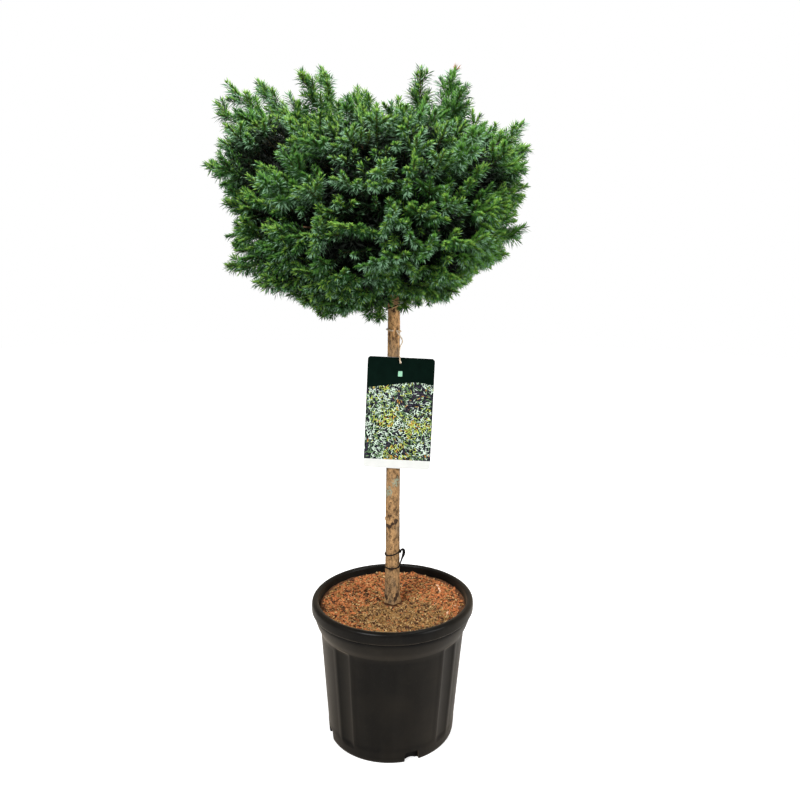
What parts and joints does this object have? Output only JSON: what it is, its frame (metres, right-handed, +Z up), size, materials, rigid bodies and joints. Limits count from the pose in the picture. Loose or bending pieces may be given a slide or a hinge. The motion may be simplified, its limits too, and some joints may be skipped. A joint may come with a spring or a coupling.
{
  "type": "potted dwarf spruce",
  "caption": "Dwarf spruce grafted as a dense round head on a clear straight stem, growing in a round black nursery pot topped with bark mulch, with a hanging plant label.",
  "frame": {"origin": "middle of the pot's flat underside, on the pot's own axis", "axes": "+Z up along the pot's axis and the stem, -Y to the front where the label hangs, +X to the right"},
  "size_m": [0.6212, 0.5559, 1.2689],
  "materials": {
    "pot": "satin black moulded plastic with dust",
    "mulch": "coarse bark shreds",
    "bark": "rough tan bark with dark scars and lichen",
    "needles": "short stiff needles, bright tips over deep green",
    "label": null,
    "string": "twisted natural string",
    "tie": "thin black plant tie"
  },
  "bodies": {
    "root": {"pot": "pot", "soil": "mulch", "trunk": "bark", "bough_low_left": "bark", "mass_low_left": "needles", "bough_low_front_left": "bark", "mass_low_front_left": "needles", "bough_low_front_right": "bark", "mass_low_front_right": "needles", "bough_low_right": "bark", "mass_low_right": "needles", "bough_low_back_right": "bark", "mass_low_back_right": "needles", "bough_low_back_left": "bark", "mass_low_back_left": "needles", "bough_side_left": "bark", "mass_side_left": "needles", "bough_side_front_left": "bark", "mass_side_front_left": "needles", "bough_side_front_right": "bark", "mass_side_front_right": "needles", "bough_side_right": "bark", "mass_side_right": "needles", "bough_side_back_right": "bark", "mass_side_back_right": "needles", "bough_side_back_left": "bark", "mass_side_back_left": "needles", "bough_shoulder_left": "bark", "mass_shoulder_left": "needles", "bough_shoulder_front": "bark", "mass_shoulder_front": "needles", "bough_shoulder_right": "bark", "mass_shoulder_right": "needles", "bough_shoulder_back": "bark", "mass_shoulder_back": "needles", "bough_top_left": "bark", "mass_top_left": "needles", "mass_top_middle": "needles", "bough_top_right": "bark", "mass_top_right": "needles", "label": "label", "label_string": "string", "tie_1": "tie", "tie_2": "tie", "tie_3": "tie"}
  },
  "joints": []
}
